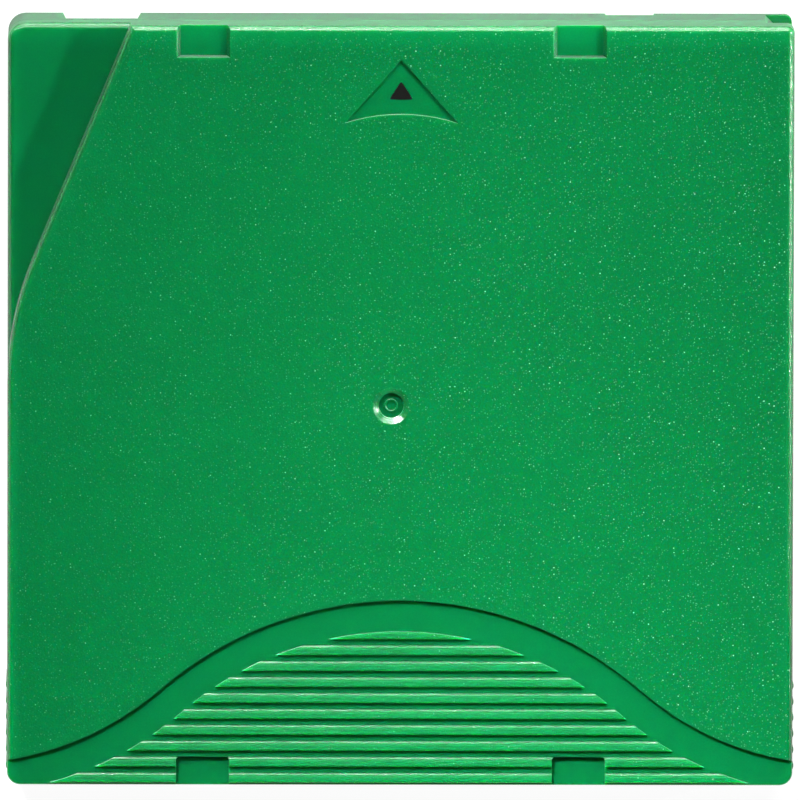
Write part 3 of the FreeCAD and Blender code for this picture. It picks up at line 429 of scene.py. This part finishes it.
spring_wire = metal("spring_wire", (0.62, 0.61, 0.58), (0.42, 0.41, 0.4), roughness=0.28, scale=3000.0, grain=0.1)
shut_low, shut_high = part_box("door_spring")
shut_start = Vector(((shut_low.x + shut_high.x) / 2, shut_high.y, (shut_low.z + shut_high.z) / 2))
shut_mesh = coil(shut_start, Vector((0, -1, 0)), radius=0.0011, wire=0.0002,
                 length=shut_high.y - shut_low.y, turns=24, steps=28)
door_coil = piece("door_spring_coil", shut_mesh, spring_wire, "case")
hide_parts("door_spring")
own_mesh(door_coil)
hold_low, hold_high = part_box("brake_spring")
hold_start = Vector(((hold_low.x + hold_high.x) / 2, (hold_low.y + hold_high.y) / 2, hold_low.z))
hold_mesh = coil(hold_start, Vector((0, 0, 1)), radius=0.0066, wire=0.0004,
                 length=hold_high.z - hold_low.z, turns=4, steps=64)
brake_coil = piece("brake_spring_coil", hold_mesh, spring_wire, "case")
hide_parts("brake_spring")
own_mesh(brake_coil)

# ---- Write-protect tab -----------------------------------------------------
# A red slider in the rear wall. A fingernail pushes it sideways by its ribs to
# guard the tape against new writing.
tab_red = moulded("tab_red", (0.62, 0.045, 0.025), (0.5, 0.03, 0.02), roughness=0.42, grain=0.25)
finish_node("write_protect_tab", tab_red)

# ---- Leader pin, its clips and the leader ----------------------------------
# A turned steel pin that the drive grabs. Bent wire clips hold its ends, and a
# snap-on plastic clip ties the start of the tape to it.
pin_steel = metal("pin_steel", (0.72, 0.71, 0.69), (0.55, 0.54, 0.53),
                  roughness=0.2, scale=900.0, grain=0.08, stretch=(1, 1, 14))
clip_steel = metal("clip_steel", (0.6, 0.59, 0.57), (0.42, 0.41, 0.4), roughness=0.3, scale=2500.0, grain=0.1)
clip_black = moulded("clip_black", (0.022, 0.022, 0.024), (0.012, 0.012, 0.013), roughness=0.38, grain=0.2)
finish_node("leader_pin", pin_steel)
finish_node("pin_clip_lower", clip_steel)
finish_node("pin_clip_upper", clip_steel)
finish_node("tape_clip", clip_black)

# ---- Reel ------------------------------------------------------------------
# A natural white hub moulded with its lower flange, gear teeth and brake teeth,
# and an upper flange welded on once the core is clean.
hub_white = moulded("hub_white", (0.74, 0.74, 0.70), (0.66, 0.66, 0.62), roughness=0.4, grain=0.15)
flange_white = moulded("flange_white", (0.76, 0.76, 0.73), (0.68, 0.68, 0.65), roughness=0.34, grain=0.12)
finish_node("reel_hub", hub_white)
finish_node("upper_flange", flange_white)

# ---- Wound tape and leader -------------------------------------------------
# Nearly a thousand metres of dark coated film. The pack's edges show its turns as
# fine rings, and its outer turn is smooth and glossy.
film_dark, film_brown = (0.018, 0.013, 0.011), (0.052, 0.038, 0.031)


def wound(name, centre):
    """Dark tape whose edges show the turns of the pack as rings round the reel's axis."""
    material, shader = shaded(name)
    tree = material.node_tree
    place = add(tree, "TexCoord")
    centred = add(tree, "Mapping")
    centred.inputs["Location"].default_value = -centre
    turns = add(tree, "TexWave", wave_type="RINGS", rings_direction="Z",
                Scale=330.0, Distortion=1.2, Detail=2.0, Detail_Scale=0.4)
    bump = add(tree, "Bump", Strength=0.2, Distance=0.00002)
    feed(tree, place.outputs["Object"], centred.inputs["Vector"])
    feed(tree, centred.outputs["Vector"], turns.inputs["Vector"])
    feed(tree, turns.outputs["Fac"], bump.inputs["Height"])
    feed(tree, bump.outputs["Normal"], shader.inputs["Normal"])
    feed(tree, blended(tree, turns.outputs["Fac"], film_dark, film_brown), shader.inputs["Base Color"])
    feed(tree, ramp(tree, turns.outputs["Fac"], 0.0, 1.0, 0.22, 0.38), shader.inputs["Roughness"])
    return material


pack_low, pack_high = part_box("tape_pack")
tape_film = wound("tape_film", Vector(((pack_low.x + pack_high.x) / 2, (pack_low.y + pack_high.y) / 2, 0)))
finish_node("tape_pack", tape_film)
finish_node("tape_leader", tape_film)

# ---- Clutch washer ---------------------------------------------------------
# A stamped ring of magnetic stainless steel in the hub. The drive's magnet pulls
# the reel down onto its gear by it.
washer_steel = metal("washer_steel", (0.64, 0.63, 0.61), (0.5, 0.49, 0.47),
                     roughness=0.3, scale=500.0, grain=0.12, stretch=(1, 12, 1))
finish_node("clutch_washer", washer_steel)

# ---- Brake -----------------------------------------------------------------
# A toothed button that stops the reel in storage, and the three-legged plate by
# which the drive lifts it. Both are moulded in hard white plastic.
brake_white = moulded("brake_white", (0.80, 0.79, 0.75), (0.72, 0.71, 0.67), roughness=0.36, grain=0.15)
finish_node("brake_button", brake_white)
finish_node("release_plate", brake_white)

# ---- Memory board ----------------------------------------------------------
# A thin glass-fibre board across a corner, with a loop antenna under the green
# mask and one black chip, read without contact.
mask_green = moulded("mask_green", (0.012, 0.105, 0.035), (0.008, 0.08, 0.026), roughness=0.25, grain=0.1)
chip_black = moulded("chip_black", (0.02, 0.02, 0.021), (0.012, 0.012, 0.012), roughness=0.5, grain=0.25)
finish_node("memory_board", mask_green)
finish_node("memory_chip", chip_black)

# ---- Case screws -----------------------------------------------------------
# Four zinc-plated screws, driven up from the underside into posts of the upper
# shell. They cut their own threads.
screw_zinc = metal("screw_zinc", (0.56, 0.57, 0.58), (0.38, 0.39, 0.4), roughness=0.32, scale=1500.0, grain=0.15)
for number in range(1, 5):
    finish_node(f"case_screw_{number}", screw_zinc)
